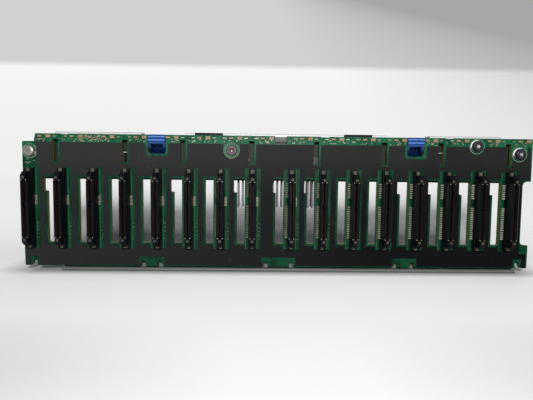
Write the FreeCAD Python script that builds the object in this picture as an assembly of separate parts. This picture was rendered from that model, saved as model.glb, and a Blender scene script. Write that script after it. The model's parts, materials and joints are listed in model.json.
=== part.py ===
"""Drive backplane board for sixteen small-form-factor drives.

Frame: X to the right, Y rearwards, Z up, millimetres. The drives plug in from the
front (-Y). The origin is on the underside of the foot, midway along the board and
midway between the front and rear edges of the foot.
"""
import FreeCAD, Part
import math
import os
from FreeCAD import Vector

os.makedirs("parts", exist_ok=True)

OVERCUT = 1.0               # cutters run this far past the faces they open

# ------------------------------------------------------------------- drive bays
BAY_COUNT = 16
BAYS_PER_GROUP = 4
BAY_PITCH = 18.0
CENTRE_EXTRA = 4.3          # extra space between the two banks of bays
CONNECTOR_SHIFT = -4.35     # connector centre line from the middle of its bay

# ------------------------------------------------------------ drive connectors
CONNECTOR_FOOT = 10.9       # lower end of the connector; heights are from the board's lower edge
HOUSING_WIDTH = 4.2
HOUSING_LENGTH = 32.8
HOUSING_HEIGHT = 8.6
HOUSING_CHAMFER = 0.5
BLADE_SLOT_LENGTH = 31.2
BLADE_SLOT_WIDTH = 1.5
BLADE_SLOT_DEPTH = 6.2
KEY_HEIGHT = 2.7            # key, above the connector's middle
KEY_WIDTH = 1.1
POST_LENGTH = 4.2           # guide post at each end of the housing
POST_WIDTH = 2.8
POST_HEIGHT = 9.4
POST_NOSE = 2.2             # slope at the outer corner of a post
BASE_END = 2.0              # base of the housing beyond each post
BASE_HEIGHT = 3.2
CONTACT_PITCH = 1.27
SIGNAL_COUNT = 7
SIGNAL_FIRST = 15.0         # first signal tail, above the connector's middle
POWER_COUNT = 15
POWER_FIRST = 1.65
TAIL_REACH = 1.2
TAIL_WIDTH = 0.62
TAIL_ROOT = 0.9             # height at which the tails leave the housing
STRAP_WIDTH = 1.9           # metal strap over each end of the base
STRAP_THICKNESS = 0.3

# ---------------------------------------------------------------- circuit board
BOARD_THICKNESS = 2.4
BOARD_LIFT = 3.2            # underside of the foot to the lower edge of the board
SIDE_TRIM = 0.15            # board's side edges, in from the outer bays
CORNER_CUT = 0.6            # small bevel on the outer corners
SHOULDER_WIDTH = 7.2        # lowered upper left corner
SHOULDER_DROP = 4.4
RECESS_DEPTH = 4.7          # relief in the right-hand edge, level with the vents
RECESS_RADIUS = 2.6
CENTRE_NOTCH_WIDTH = 6.8
CENTRE_NOTCH_DEPTH = 4.6
RAIL_NOTCH_WIDTH = 2.4      # notches in the lower edge that clear the tray rails
RAIL_NOTCH_DEPTH = 2.8
RAIL_NOTCH_FLARE = 1.2
RAIL_PAIR_INSET = 0.75      # middle of each outer pair, in from the gap between bay groups
RAIL_PAIR_HALF = 4.8
RAIL_CENTRE_HALF = 7.3
RAIL_END_INSET = 5.8
TAB_RELIEF_WIDTH = 5.0      # stumps left where the board was broken from its panel
TAB_RELIEF_DEPTH = 0.4
TAB_BAYS = (2, 10, 14)
TAB_SHIFT = -3.2

# ------------------------------------------------------ air slots in the board
VENT_RISE = 2.7             # lower end of the slots above the connector's lower end
VENT_DROP = 5.1             # upper end of the slots below the connector's upper end
VENT_WIDTH = 4.5
VENT_TO_CONNECTOR = 4.45    # slot's right side to the connector centre line
VENT_CORNER = 0.6
VENT_HEAD_WIDTH = 6.3       # wider upper end of some slots
VENT_HEAD_HEIGHT = 8.0
STEPPED_VENTS = (2, 6, 8, 9, 10, 13, 14, 15, 16)

HOOK_SLOT_WIDTH = 3.2
HOOK_SLOT_HEIGHT = 12.7
HOOK_SLOT_RISE = 3.7        # lower end of the hook slots above the connector's upper end
HOOK_SLOT_RIM = 3.0         # board left above the hook slots
HOOK_SHIFT_FIRST = 9.7      # hook slot from the middle of a group's first bay
HOOK_SHIFT_LAST = -5.1      # and from the middle of its last bay

# ------------------------------------------------------------- insulating film
FILM_THICKNESS = 0.3
FILM_DROP = 4.8             # film's upper edge below the board's
FILM_EDGE_MARGIN = 1.0      # bare green rim at the board's side edges
FILM_FOOT_MARGIN = 0.6
FILM_SHOULDER = 8.1         # bare column above the first connector
FILM_LEFT_GAP = 4.35        # connector centre line to the film on its left
FILM_RIGHT_GAP = 4.75
FILM_VENT_MARGIN = 1.2
FILM_HOOK_MARGIN = 0.95
FILM_LATCH_MARGIN = 1.4
FILM_NOTCH_MARGIN = 1.3
FILM_NOTCH_TOP = 5.4
FILM_RING_MARGIN = 1.0      # clearance round each washer

# ------------------------------------------------------- stiffeners behind it
SHEET = 1.0
BEND_RADIUS = 1.3           # outside of each bend
BEND_STEPS = 2
STANDOFF = 2.0              # air between the board and the stiffeners
TOP_RAIL_LAP = 1.2          # lower edge below the upper end of the air slots
TOP_RAIL_RISE = 1.5         # flange top above the board's upper edge
TOP_RAIL_INSET = 4.6        # ends in from the board's side edges
TOP_RAIL_CORNER = 4.0
TOP_RAIL_EAR = 3.6          # extra reach below the board's lowered corner
FLANGE_DEPTH = 8.6
FLANGE_INSET = 16.4
FLANGE_LATCH_GAP = 25.0
FLANGE_LATCH_SHIFT = 2.8
FOOT_DEPTH = 24.0
FOOT_RAIL_TOP = 11.0
FOOT_INSET_LEFT = 20.5
FOOT_INSET_RIGHT = 6.5
FOOT_SCREW_BAYS = (2, 7, 10, 15)
FOOT_SCREW_HEIGHT = 6.2

# ----------------------------------------------------------- release latches
LATCH_BAYS = (5, 13)
LATCH_SHIFT = -0.7          # from the connector centre line
LATCH_NOTCH_WIDTH = 10.0
LATCH_NOTCH_DEPTH = 10.8
LATCH_NOTCH_CORNER = 1.1
LATCH_CLEARANCE = 0.3
LATCH_PROUD = 0.6           # lip stands this far in front of the board
LATCH_LIP_HEIGHT = 5.1
LATCH_CHEEK = 1.2
LATCH_BODY_DEPTH = 6.0
LATCH_BODY_HEIGHT = 17.9
LATCH_SCOOP_RADIUS = 4.6
LATCH_RIB_COUNT = 3
LATCH_RIB_HEIGHT = 0.5
LATCH_TRAVEL = 3.0
GUIDE_WALL = 1.2
GUIDE_FLOOR = 1.6
GUIDE_EAR = 2.8
STOP_PIN_RADIUS = 0.9
STOP_PIN_WALL = 0.6         # left below the pin's slot in the latch

# ------------------------------------------------------------------ fixings
HEAD_SIDES = 12             # flats round each screw head and washer
SHANK_SIDES = 8             # and round each shank, its hole and the stop pins
STUD_INSET = 4.2            # in from the board's left edge
STUD_DROP = 9.9             # each drop is below the board's upper edge
RIVET_PLACE = (7, 1.55)     # bay, and shift from its middle
RIVET_DROP = 8.5
SCREW_PLACE = (15, -5.65)
SCREW_DROP = 4.6
END_SCREW_INSET = 7.5
END_SCREW_DROP = 8.9
SHANK_RADIUS = 1.5
WASHER_RADIUS = 3.8
WASHER_THICKNESS = 0.5
STUD_HEAD_RADIUS = 3.2
STUD_HEAD_HEIGHT = 1.9
STUD_HEAD_BEVEL = 0.6
STUD_DIMPLE_RADIUS = 0.8
STUD_DIMPLE_DEPTH = 0.6
SCREW_HEAD_RADIUS = 2.8
SCREW_HEAD_HEIGHT = 2.0
SCREW_HEAD_BEVEL = 0.5
DRIVE_RADIUS = 1.5
DRIVE_VALLEY = 1.05
DRIVE_DEPTH = 1.2
DRIVE_LOBES = 6
RIVET_RADIUS = 2.9
RIVET_HEIGHT = 0.7
RIVET_BORE = 0.9
SPACER_RADIUS = 2.9
BACK_HEAD_RADIUS = 2.4
BACK_HEAD_HEIGHT = 1.3

# ------------------------------------------------------- expander and cooling
EXPANDER_X = 0.55
EXPANDER_RISE = 5.7         # middle of the chip above the connectors' upper end
CHIP_SIZE = 19.0
CHIP_THICKNESS = 2.4
CHIP_CLEARANCE = 0.5
PAD_MARGIN = 0.5
SINK_BASE = 3.0
SINK_TOP_DROP = 2.9
FIN_COUNT = 20
FIN_PITCH = 2.6
FIN_THICKNESS = 0.9
FIN_DEPTH = 12.0
FIN_HANG = 17.2             # fins reach this far below the upper end of the air slots
SINK_SCREW_OFFSET = 20.0
SINK_SCREW_RADIUS = 1.2
SINK_SCREW_BITE = 2.4

# ------------------------------------------------------------- rear sockets
LINK_PLACES = ((6, 6.15), (11, -1.55))
LINK_WIDTH = 15.7
LINK_DEPTH = 10.6
LINK_HEIGHT = 20.0
LINK_RISE = 1.5
LINK_WALL = 1.3
LINK_MOUTH_DEPTH = 13.0
LINK_TONGUE = 1.2
LINK_TONGUE_GAP = 1.4
WINDOW_CLEARANCE = 0.3
SOCKET_DROP = 13.7          # middle of the power and signal sockets below the board's upper edge
POWER_PLACES = ((2, 2.0), (14, -1.2))
POWER_PITCH = 4.2
POWER_COLUMNS = 4
POWER_SHROUD = 0.9
POWER_DEPTH = 12.8
SIGNAL_PLACE = (3, 5.0)
SIGNAL_PITCH = 2.54
SIGNAL_COLUMNS = 5
SIGNAL_SHROUD = 1.0
SIGNAL_DEPTH = 7.2
SOCKET_FLOOR = 1.6
PIN_THICKNESS = 0.9
PIN_INSET = 2.0

# ---------------------------------------------------------- small components
LIGHT_SIZE_NARROW = (2.3, 1.0)
LIGHT_SIZE_WIDE = (2.6, 1.7)
LIGHT_THICKNESS = 0.8
LIGHT_DROP = 1.5            # middle of each light below the board's upper edge
LIGHT_SHIFTS = (1.3, 6.1)   # from the middle of the bay
CAPACITOR = (4.3, 2.9, 7.3)
CAPACITOR_DROP = 2.5        # below the connectors' middle
SWITCH = (5.0, 1.1, 6.0)
SWITCH_DROP = 13.5
COLUMN_SHIFT = 1.6          # middle of the solid column right of each connector

# ---------------------------------------------------------------- derived
HALF_WIDTH = (BAY_COUNT * BAY_PITCH + CENTRE_EXTRA) / 2 - SIDE_TRIM
HOUSING_END = HOUSING_LENGTH / 2 + POST_LENGTH + BASE_END
CONNECTOR_MID = CONNECTOR_FOOT + HOUSING_END
CONNECTOR_HEAD = CONNECTOR_MID + HOUSING_END
VENT_BOTTOM = CONNECTOR_FOOT + VENT_RISE
VENT_TOP = CONNECTOR_HEAD - VENT_DROP
HOOK_SLOT_BOTTOM = CONNECTOR_HEAD + HOOK_SLOT_RISE
BOARD_HEIGHT = HOOK_SLOT_BOTTOM + HOOK_SLOT_HEIGHT + HOOK_SLOT_RIM
FILM_TOP = BOARD_HEIGHT - FILM_DROP
EXPANDER_HEIGHT = CONNECTOR_HEAD + EXPANDER_RISE
SOCKET_HEIGHT = BOARD_HEIGHT - SOCKET_DROP
LATCH_BODY_BOTTOM = BOARD_HEIGHT - LATCH_BODY_HEIGHT
STOP_PIN_REACH = STOP_PIN_RADIUS + LATCH_CLEARANCE
STOP_PIN_HEIGHT = LATCH_BODY_BOTTOM + STOP_PIN_WALL + LATCH_TRAVEL + STOP_PIN_REACH
BOARD_FRONT = -FOOT_DEPTH / 2
BOARD_REAR = BOARD_FRONT + BOARD_THICKNESS
BOARD_TOP = BOARD_LIFT + BOARD_HEIGHT
SHEET_FRONT = BOARD_REAR + STANDOFF
SHEET_REAR = SHEET_FRONT + SHEET
TOP_RAIL_END = HALF_WIDTH - TOP_RAIL_INSET
FLANGE_END = HALF_WIDTH - FLANGE_INSET
LATCH_WIDTH = LATCH_NOTCH_WIDTH - 2 * LATCH_CLEARANCE
LATCH_WINDOW = LATCH_NOTCH_WIDTH + 2 * (GUIDE_WALL + LATCH_CLEARANCE)
LATCH_REAR = BOARD_REAR + LATCH_CLEARANCE + LATCH_BODY_DEPTH
STOP_PIN_Y = LATCH_REAR - LATCH_BODY_DEPTH / 2
CHIP_WINDOW = CHIP_SIZE + 2 * CHIP_CLEARANCE
POWER_SIZE = (POWER_COLUMNS * POWER_PITCH + 2 * POWER_SHROUD, 2 * POWER_PITCH + 2 * POWER_SHROUD)
SIGNAL_SIZE = (SIGNAL_COLUMNS * SIGNAL_PITCH + 2 * SIGNAL_SHROUD, 2 * SIGNAL_PITCH + 2 * SIGNAL_SHROUD)


def up(height):
    """World height of a point given above the board's lower edge."""
    return BOARD_LIFT + height


def block(x0, x1, y0, y1, z0, z1):
    return Part.makeBox(x1 - x0, y1 - y0, z1 - z0, Vector(x0, y0, z0))


def centred(x, z, width, height, y0, y1):
    """Block centred on (x, z), reaching from y0 to y1."""
    return block(x - width / 2, x + width / 2, y0, y1, z - height / 2, z + height / 2)


def drawn(points, direction):
    """Straight-sided section through the points, drawn along a direction."""
    return Part.Face(Part.makePolygon(points + points[:1])).extrude(direction)


def plate(corners, y0, y1):
    """Flat piece between y0 and y1 with straight sides through the (x, z) corners."""
    return drawn([Vector(x, y0, z) for x, z in corners], Vector(0, y1 - y0, 0))


def length_of(corners, x0, x1):
    """Section through the (y, z) corners, drawn out from x0 to x1."""
    return drawn([Vector(x0, y, z) for y, z in corners], Vector(x1 - x0, 0, 0))


def around(u, v, radius, sides):
    """Corners of a regular polygon about (u, v)."""
    turn = 2 * math.pi / sides
    return [(u + radius * math.cos(turn * k), v + radius * math.sin(turn * k)) for k in range(sides)]


def bar(x, z, radius, y0, y1, sides=SHANK_SIDES):
    """Bar along Y with flat sides."""
    return plate(around(x, z, radius, sides), y0, y1)


def cross_bar(y, z, radius, x0, x1):
    """Bar along X with flat sides."""
    return length_of(around(y, z, radius, SHANK_SIDES), x0, x1)


def bend(y, z, radius, start):
    """Points of a quarter bend about (y, z), from the start angle on."""
    angles = [math.radians(start - 90 * k / BEND_STEPS) for k in range(BEND_STEPS + 1)]
    return [(y + radius * math.cos(a), z + radius * math.sin(a)) for a in angles]


def bevelled(solid, size, keep):
    """Bevel the edges along Y whose (x, z) place passes the test `keep`."""
    return solid.makeChamfer(size, edges_along_y(solid, keep))


def edges_along_y(solid, keep):
    chosen = []
    for edge in solid.Edges:
        start, end = edge.firstVertex().Point, edge.lastVertex().Point
        along_y = abs(start.x - end.x) < 1e-6 and abs(start.z - end.z) < 1e-6
        if along_y and keep(start.x, start.z):
            chosen.append(edge)
    return chosen


def front_bevelled(solid, size):
    """Bevel the whole outline of a solid's front face."""
    front = solid.BoundBox.YMin
    return solid.makeChamfer(size, [edge for edge in solid.Edges if edge.BoundBox.YMax < front + 1e-6])


def everywhere(x, z):
    return True


def bay_centre(bay):
    """Middle of bay 1 to BAY_COUNT, counted from the left."""
    side = -1 if bay <= BAY_COUNT / 2 else 1
    return (bay - (BAY_COUNT + 1) / 2) * BAY_PITCH + side * CENTRE_EXTRA / 2


def place(bay, shift):
    return bay_centre(bay) + shift


def connector_x(bay):
    return place(bay, CONNECTOR_SHIFT)


def latch_x(bay):
    return connector_x(bay) + LATCH_SHIFT


def link_sockets_x():
    return [place(bay, shift) for bay, shift in LINK_PLACES]


def hook_slots_x():
    """One slot after the first and one before the last bay of each group."""
    places = []
    for first in range(1, BAY_COUNT + 1, BAYS_PER_GROUP):
        last = first + BAYS_PER_GROUP - 1
        places += [place(first, HOOK_SHIFT_FIRST), place(last, HOOK_SHIFT_LAST)]
    return places


def rail_pair_x():
    return BAYS_PER_GROUP * BAY_PITCH + CENTRE_EXTRA / 2 - RAIL_PAIR_INSET


def rail_notches():
    """Each notch in the lower edge: its middle and the side that it flares to."""
    pairs = [(-rail_pair_x(), RAIL_PAIR_HALF), (0.0, RAIL_CENTRE_HALF), (rail_pair_x(), RAIL_PAIR_HALF)]
    end = HALF_WIDTH - RAIL_END_INSET
    notches = [(-end, -1), (end, 1)]
    for middle, half in pairs:
        notches += [(middle - half, -1), (middle + half, 1)]
    return notches


def stud_place():
    return -HALF_WIDTH + STUD_INSET, up(BOARD_HEIGHT - STUD_DROP)


def rivet_place():
    return place(*RIVET_PLACE), up(BOARD_HEIGHT - RIVET_DROP)


def screw_places():
    return [(place(*SCREW_PLACE), up(BOARD_HEIGHT - SCREW_DROP)),
            (HALF_WIDTH - END_SCREW_INSET, up(BOARD_HEIGHT - END_SCREW_DROP))]


def fixings():
    return [stud_place(), rivet_place()] + screw_places()


def foot_screw_places():
    return [(bay_centre(bay), up(FOOT_SCREW_HEIGHT)) for bay in FOOT_SCREW_BAYS]


def sink_screw_places():
    return [(EXPANDER_X + side * SINK_SCREW_OFFSET, up(EXPANDER_HEIGHT)) for side in (-1, 1)]


# ------------------------------------------------------------ circuit board
def vent_cutter(bay, y0, y1, margin=0.0):
    """Air slot left of a connector."""
    right = connector_x(bay) - VENT_TO_CONNECTOR + margin
    left = right - VENT_WIDTH - 2 * margin
    return block(left, right, y0, y1, up(VENT_BOTTOM) - margin, up(VENT_TOP) + margin)


def vent_head_cutter(bay, y0, y1):
    """Wider upper end of an air slot."""
    right = connector_x(bay) - VENT_TO_CONNECTOR
    return block(right - VENT_HEAD_WIDTH, right, y0, y1, up(VENT_TOP - VENT_HEAD_HEIGHT), up(VENT_TOP))


def vent_cutters(y0, y1):
    slots = [vent_cutter(bay, y0, y1) for bay in range(2, BAY_COUNT + 1)]
    heads = [vent_head_cutter(bay, y0, y1) for bay in STEPPED_VENTS]
    return [bevelled(slot, VENT_CORNER, everywhere) for slot in slots + heads]


def rail_notch_cutter(x, flare_side, y0, y1):
    half = RAIL_NOTCH_WIDTH / 2
    below = up(0) - OVERCUT
    inner, outer = x - flare_side * half, x + flare_side * half
    flare = RAIL_NOTCH_FLARE
    corners = [(inner, below), (inner, up(RAIL_NOTCH_DEPTH)), (outer, up(RAIL_NOTCH_DEPTH)),
               (outer, up(flare)), (outer + flare_side * flare, up(0)), (outer + flare_side * flare, below)]
    return plate(corners, y0, y1)


def latch_notch_cutter(bay, y0, y1, margin=0.0):
    half = LATCH_NOTCH_WIDTH / 2 + margin
    bottom = BOARD_TOP - LATCH_NOTCH_DEPTH - margin
    notch = block(latch_x(bay) - half, latch_x(bay) + half, y0, y1, bottom, BOARD_TOP + OVERCUT)
    return bevelled(notch, LATCH_NOTCH_CORNER, lambda x, z: z < bottom + 1e-3)


def board_edge_cutters(y0, y1):
    """Cut-outs that open through the board's outer edges."""
    cutters = [rail_notch_cutter(x, side, y0, y1) for x, side in rail_notches()]
    cutters += [latch_notch_cutter(bay, y0, y1) for bay in LATCH_BAYS]
    half = CENTRE_NOTCH_WIDTH / 2
    cutters.append(block(EXPANDER_X - half, EXPANDER_X + half, y0, y1,
                         BOARD_TOP - CENTRE_NOTCH_DEPTH, BOARD_TOP + OVERCUT))
    for bay in TAB_BAYS:
        x = place(bay, TAB_SHIFT)
        for edge in (up(0), BOARD_TOP):
            cutters.append(centred(x, edge, TAB_RELIEF_WIDTH, 2 * TAB_RELIEF_DEPTH, y0, y1))
    inner, outer = HALF_WIDTH - RECESS_DEPTH, HALF_WIDTH + RECESS_DEPTH
    recess = block(inner, outer, y0, y1, up(VENT_BOTTOM), up(VENT_TOP))
    cutters.append(recess.makeFillet(RECESS_RADIUS, edges_along_y(recess, everywhere)))
    return cutters


def board_outline(y0, y1):
    shoulder = -HALF_WIDTH + SHOULDER_WIDTH
    corners = [(-HALF_WIDTH, up(0)), (HALF_WIDTH, up(0)), (HALF_WIDTH, BOARD_TOP), (shoulder, BOARD_TOP),
               (shoulder, BOARD_TOP - SHOULDER_DROP), (-HALF_WIDTH, BOARD_TOP - SHOULDER_DROP)]
    return bevelled(plate(corners, y0, y1), CORNER_CUT, everywhere)


def circuit_board():
    y0, y1 = BOARD_FRONT - OVERCUT, BOARD_REAR + OVERCUT
    middle = up(HOOK_SLOT_BOTTOM + HOOK_SLOT_HEIGHT / 2)
    cutters = board_edge_cutters(y0, y1) + vent_cutters(y0, y1)
    cutters += [centred(x, middle, HOOK_SLOT_WIDTH, HOOK_SLOT_HEIGHT, y0, y1) for x in hook_slots_x()]
    cutters += [bar(x, z, SHANK_RADIUS, y0, y1) for x, z in fixings()]
    return board_outline(BOARD_FRONT, BOARD_REAR).cut(cutters)


# ---------------------------------------------------------- insulating film
def film_outline(y0, y1):
    left = -HALF_WIDTH + FILM_EDGE_MARGIN
    right = HALF_WIDTH - FILM_EDGE_MARGIN
    inner_right = HALF_WIDTH - RECESS_DEPTH - FILM_FOOT_MARGIN
    column = connector_x(1) + FILM_RIGHT_GAP
    shoulder = -HALF_WIDTH + FILM_SHOULDER
    low = up(VENT_BOTTOM) - 2 * RECESS_RADIUS
    connector_low, connector_high = film_window_heights()
    recess_top = up(VENT_TOP) + FILM_EDGE_MARGIN
    bottom, top = up(FILM_FOOT_MARGIN), up(FILM_TOP)
    corners = [(left, bottom), (right, bottom), (right, low), (inner_right, low), (inner_right, recess_top),
               (right, recess_top), (right, top), (shoulder, top), (shoulder, connector_high),
               (column, connector_high), (column, connector_low), (left, connector_low)]
    return plate(corners, y0, y1)


def film_window_heights():
    return up(CONNECTOR_FOOT) - FILM_FOOT_MARGIN, up(CONNECTOR_HEAD) + FILM_EDGE_MARGIN


def film_rings(y0, y1):
    """Clearance round each fixing that the film reaches, open to its upper edge."""
    radius = WASHER_RADIUS + FILM_RING_MARGIN
    rings = []
    for x, z in fixings()[1:]:
        mouth = block(x - radius, x + radius, y0, y1, z, BOARD_TOP)
        rings.append(bar(x, z, radius, y0, y1, HEAD_SIDES).fuse(mouth))
    return rings


def film_notch_blocks(y0, y1):
    half = RAIL_NOTCH_WIDTH / 2 + FILM_NOTCH_MARGIN
    end = HALF_WIDTH - RAIL_END_INSET
    reaches = [(-end, half), (end, half), (0.0, RAIL_CENTRE_HALF + half)]
    reaches += [(side * rail_pair_x(), RAIL_PAIR_HALF + half) for side in (-1, 1)]
    return [block(x - reach, x + reach, y0, y1, up(0), up(FILM_NOTCH_TOP)) for x, reach in reaches]


def insulator_film():
    """Black film over the front, open round everything that stands on the board."""
    y0, y1 = BOARD_FRONT - FILM_THICKNESS, BOARD_FRONT
    cut0, cut1 = y0 - OVERCUT, y1 + OVERCUT
    low, high = film_window_heights()
    cutters = [vent_head_cutter(bay, cut0, cut1) for bay in STEPPED_VENTS]
    for bay in range(2, BAY_COUNT + 1):
        x = connector_x(bay)
        cutters.append(block(x - FILM_LEFT_GAP, x + FILM_RIGHT_GAP, cut0, cut1, low, high))
        cutters.append(vent_cutter(bay, cut0, cut1, FILM_VENT_MARGIN))
    half = HOOK_SLOT_WIDTH / 2
    hook_low = up(HOOK_SLOT_BOTTOM) - FILM_HOOK_MARGIN
    for x in hook_slots_x():
        cutters.append(block(x - half, x + half + FILM_HOOK_MARGIN, cut0, cut1, hook_low, BOARD_TOP))
    cutters += [latch_notch_cutter(bay, cut0, cut1, FILM_LATCH_MARGIN) for bay in LATCH_BAYS]
    cutters += film_rings(cut0, cut1) + film_notch_blocks(cut0, cut1)
    return film_outline(y0, y1).cut(cutters)


# --------------------------------------------------------- drive connectors
def guide_post(x, end):
    """Post that leads the drive in at one end of a housing, on the end of its base."""
    inner = up(CONNECTOR_MID) + end * HOUSING_LENGTH / 2
    outer = inner + end * POST_LENGTH
    toe = outer + end * BASE_END
    wide = HOUSING_WIDTH / 2
    base = block(x - wide, x + wide, BOARD_FRONT - BASE_HEIGHT, BOARD_FRONT, min(inner, toe), max(inner, toe))
    tip = BOARD_FRONT - POST_HEIGHT
    section = [(BOARD_FRONT, inner), (tip, inner), (tip, outer - end * POST_NOSE), (tip + POST_NOSE, outer),
               (BOARD_FRONT, outer)]
    return base.fuse(length_of(section, x - POST_WIDTH / 2, x + POST_WIDTH / 2))


def connector_housing(bay):
    x = connector_x(bay)
    middle = up(CONNECTOR_MID)
    half, reach = HOUSING_WIDTH / 2, HOUSING_LENGTH / 2
    front = BOARD_FRONT - HOUSING_HEIGHT
    body = block(x - half, x + half, front, BOARD_FRONT, middle - reach, middle + reach)
    mouth_edges = [edge for edge in body.Edges if abs(edge.CenterOfMass.y - front) < 1e-6
                   and abs(edge.CenterOfMass.z - middle) < 1e-6]
    body = body.makeChamfer(HOUSING_CHAMFER, mouth_edges)
    slot = centred(x, middle, BLADE_SLOT_WIDTH, BLADE_SLOT_LENGTH, front, front + BLADE_SLOT_DEPTH)
    key_half = BLADE_SLOT_WIDTH / 2
    key = centred(x + key_half / 2, middle + KEY_HEIGHT, key_half, KEY_WIDTH, front, front + BLADE_SLOT_DEPTH)
    posts = guide_post(x, 1).fuse(guide_post(x, -1))
    return body.cut(slot.cut(key)).fuse(posts).removeSplitter()


def tail_heights():
    """Heights of one connector's left-hand solder tails: signals above, power below."""
    signals = [SIGNAL_FIRST - CONTACT_PITCH * k for k in range(SIGNAL_COUNT)]
    power = [POWER_FIRST - CONTACT_PITCH * k for k in range(POWER_COUNT)]
    return [up(CONNECTOR_MID + height) for height in signals + power]


def solder_tails(bays):
    """Tails that slope down to the board beside each housing."""
    tails = []
    for bay in bays:
        root = connector_x(bay) - HOUSING_WIDTH / 2
        toe, high = root - TAIL_REACH, BOARD_FRONT - TAIL_ROOT
        section = [(root, BOARD_FRONT), (toe, BOARD_FRONT), (root, high)]
        for z in tail_heights():
            points = [Vector(x, y, z - TAIL_WIDTH / 2) for x, y in section]
            tails.append(drawn(points, Vector(0, 0, TAIL_WIDTH)))
    return Part.makeCompound(tails)


def hold_down(x, end):
    """Strap let into the front of one end of a housing's base."""
    toe = up(CONNECTOR_MID) + end * HOUSING_END
    root = toe - end * BASE_END
    front = BOARD_FRONT - BASE_HEIGHT
    half = STRAP_WIDTH / 2
    return block(x - half, x + half, front - STRAP_THICKNESS, front, min(root, toe), max(root, toe))


def hold_downs():
    return Part.makeCompound([hold_down(connector_x(bay), end)
                              for bay in range(1, BAY_COUNT + 1) for end in (-1, 1)])


# -------------------------------------------------------------- stiffeners
def socket_windows():
    """(x, z, width, height) of each closed window through the upper stiffener."""
    clear = 2 * WINDOW_CLEARANCE
    windows = [(EXPANDER_X, up(EXPANDER_HEIGHT), CHIP_WINDOW, CHIP_WINDOW)]
    sockets = [(place(*spot), POWER_SIZE) for spot in POWER_PLACES] + [(place(*SIGNAL_PLACE), SIGNAL_SIZE)]
    for x, size in sockets:
        windows.append((x, up(SOCKET_HEIGHT), size[0] + clear, size[1] + clear))
    return windows


def top_rail_cutters(shelf, top):
    y0, y1 = SHEET_FRONT - OVERCUT, SHEET_FRONT + FLANGE_DEPTH + OVERCUT
    cutters = [centred(x, z, width, height, y0, y1) for x, z, width, height in socket_windows()]
    half = LINK_WIDTH / 2 + WINDOW_CLEARANCE
    low = top - LINK_HEIGHT - WINDOW_CLEARANCE
    cutters += [block(x - half, x + half, y0, y1, low, top + OVERCUT) for x in link_sockets_x()]
    for bay in LATCH_BAYS:
        x = latch_x(bay)
        floor = up(LATCH_BODY_BOTTOM) - GUIDE_FLOOR - WINDOW_CLEARANCE
        cutters.append(block(x - LATCH_WINDOW / 2, x + LATCH_WINDOW / 2, y0, y1, floor, top + OVERCUT))
        middle = x - math.copysign(FLANGE_LATCH_SHIFT, x)
        half_gap = FLANGE_LATCH_GAP / 2
        cutters.append(block(middle - half_gap, middle + half_gap, y0, y1, shelf, top + OVERCUT))
    cutters += [bar(x, z, SINK_SCREW_RADIUS, y0, y1) for x, z in sink_screw_places()]
    return cutters


def top_stiffener():
    """Sheet behind the upper half, with a flange bent rearwards above the board."""
    top = BOARD_TOP + TOP_RAIL_RISE
    shelf = BOARD_TOP - WINDOW_CLEARANCE
    ear = shelf - SHOULDER_DROP
    low = up(VENT_TOP) - TOP_RAIL_LAP
    corners = [(-TOP_RAIL_END - TOP_RAIL_EAR, low), (TOP_RAIL_END, low), (TOP_RAIL_END, shelf),
               (-TOP_RAIL_END, shelf), (-TOP_RAIL_END, ear), (-TOP_RAIL_END - TOP_RAIL_EAR, ear)]
    web = plate(corners, SHEET_FRONT, SHEET_REAR)
    web = bevelled(web, TOP_RAIL_CORNER / 2, lambda x, z: z > shelf - 1e-3)
    root, turn = SHEET_FRONT + BEND_RADIUS, top - BEND_RADIUS
    outer = bend(root, turn, BEND_RADIUS, 180)
    inner = bend(root, turn, BEND_RADIUS - SHEET, 180)[::-1]
    tip = SHEET_FRONT + FLANGE_DEPTH
    section = [(SHEET_FRONT, shelf - OVERCUT)] + outer + [(tip, top), (tip, top - SHEET)] + inner
    flange = length_of(section + [(SHEET_REAR, shelf - OVERCUT)], -FLANGE_END, FLANGE_END)
    return web.fuse(flange).removeSplitter().cut(top_rail_cutters(shelf, top))


def foot_stiffener():
    """Lower rail: web behind the board, hem under its edge and the foot it stands on."""
    front, rear = BOARD_FRONT, BOARD_FRONT + FOOT_DEPTH
    top = up(FOOT_RAIL_TOP)
    hem = bend(front + SHEET, SHEET, SHEET, 270) + bend(front + SHEET, SHEET, SHEET, 180)[1:]
    section = hem + [(SHEET_FRONT, 2 * SHEET), (SHEET_FRONT, top), (SHEET_REAR, top), (SHEET_REAR, SHEET),
                     (rear, SHEET), (rear, 0)]
    rail = length_of(section, -HALF_WIDTH + FOOT_INSET_LEFT, HALF_WIDTH - FOOT_INSET_RIGHT)
    y0, y1 = SHEET_FRONT - OVERCUT, SHEET_REAR + OVERCUT
    return rail.cut([bar(x, z, SHANK_RADIUS, y0, y1) for x, z in foot_screw_places()])


# --------------------------------------------------------- release latches
def latch_profile(lip_front, lip_bottom, cheek_bottom):
    """(y, z) side view of a latch without its scoop."""
    body_front = BOARD_REAR + LATCH_CLEARANCE
    body_bottom = up(LATCH_BODY_BOTTOM)
    return [(body_front, body_bottom), (LATCH_REAR, body_bottom), (LATCH_REAR, BOARD_TOP),
            (lip_front, BOARD_TOP), (lip_front, lip_bottom), (BOARD_FRONT, lip_bottom),
            (body_front, cheek_bottom)]


def latch_scoop(x, half, lip_bottom, cheek_bottom):
    """Round hollow under the lip, between the latch's cheeks."""
    hollow = half - LATCH_CHEEK
    axis = Vector(x - hollow, BOARD_REAR + LATCH_CLEARANCE - LATCH_PROUD, lip_bottom - LATCH_PROUD)
    scoop = Part.makeCylinder(LATCH_SCOOP_RADIUS, 2 * hollow, axis, Vector(1, 0, 0))
    reach = 2 * LATCH_SCOOP_RADIUS
    return scoop.common(block(x - half, x + half, axis.y - reach, axis.y + reach, cheek_bottom, lip_bottom))


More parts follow.
